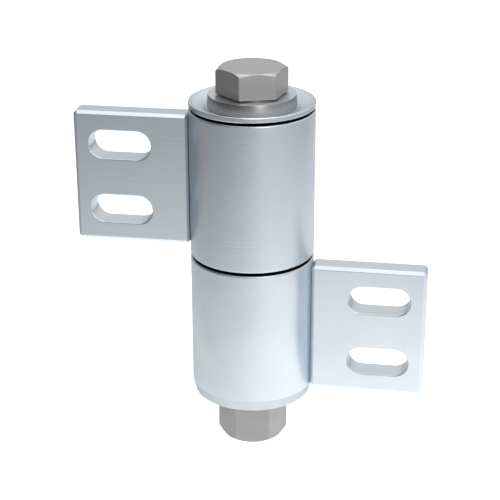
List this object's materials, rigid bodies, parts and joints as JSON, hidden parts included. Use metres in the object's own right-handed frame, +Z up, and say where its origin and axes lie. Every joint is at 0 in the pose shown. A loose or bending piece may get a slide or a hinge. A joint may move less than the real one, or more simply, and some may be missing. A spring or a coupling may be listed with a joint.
{
  "type": "barrel hinge",
  "caption": "Heavy barrel hinge: an upper barrel with a slotted leaf turns on ball bearings about a through bolt clamped in a lower barrel with its own slotted leaf.",
  "frame": {"origin": "on the hinge axis, half way in height between the two leaves", "axes": "+Z up along the hinge axis towards the bolt head; with the hinge open at 180 degrees as it stands, +X points along the lower leaf and -X along the upper leaf; +Y is the back, where the leaf welds are"},
  "size_m": [0.171, 0.06, 0.193],
  "materials": {
    "zinc_plated_steel": "satin",
    "plain_steel": "satin",
    "turned_steel": "satin",
    "weld_metal": "satin",
    "bearing_steel": "gloss",
    "spring_steel": "satin",
    "seal_rubber": "matte",
    "cage_nylon": "matte"
  },
  "bodies": {
    "lower_half": {"lower_barrel": "zinc_plated_steel", "base_cap": "zinc_plated_steel", "lower_hub": "turned_steel", "hub_weld": "weld_metal", "lower_leaf": "zinc_plated_steel", "lower_leaf_weld": "weld_metal", "hex_bolt": "plain_steel", "head_washer": "plain_steel", "cover_disc": "zinc_plated_steel", "nut_washer": "plain_steel", "lock_nut": "plain_steel", "inner_spacer": "turned_steel", "gap_spacer": "turned_steel", "upper_bearing_inner_ring": "bearing_steel", "lower_bearing_inner_ring": "bearing_steel"},
    "upper_half": {"upper_barrel": "zinc_plated_steel", "upper_leaf": "zinc_plated_steel", "upper_leaf_weld": "weld_metal", "outer_spacer": "turned_steel", "upper_retaining_ring": "spring_steel", "lower_retaining_ring": "spring_steel", "upper_bearing_outer_ring": "bearing_steel", "lower_bearing_outer_ring": "bearing_steel", "upper_bearing_lower_seal": "seal_rubber", "upper_bearing_upper_seal": "seal_rubber", "lower_bearing_lower_seal": "seal_rubber", "lower_bearing_upper_seal": "seal_rubber"},
    "lower_ball_set": {"lower_bearing_balls": "bearing_steel", "lower_bearing_cage": "cage_nylon"},
    "upper_ball_set": {"upper_bearing_balls": "bearing_steel", "upper_bearing_cage": "cage_nylon"}
  },
  "joints": [
    {"name": "leaf_swing", "type": "hinge", "parent": "lower_half", "child": "upper_half", "pos_m": [0, 0, 0], "axis": [0, 0, 1], "continuous": true},
    {"name": "lower_ball_set_turn", "type": "hinge", "parent": "lower_half", "child": "lower_ball_set", "pos_m": [0, 0, 0.0122], "axis": [0, 0, 1], "continuous": true},
    {"name": "upper_ball_set_turn", "type": "hinge", "parent": "lower_half", "child": "upper_ball_set", "pos_m": [0, 0, 0.061], "axis": [0, 0, 1], "continuous": true}
  ],
  "couplings": [
    {"joint": "lower_ball_set_turn", "follows": "leaf_swing", "ratio": 0.6323},
    {"joint": "upper_ball_set_turn", "follows": "leaf_swing", "ratio": 0.6323}
  ]
}
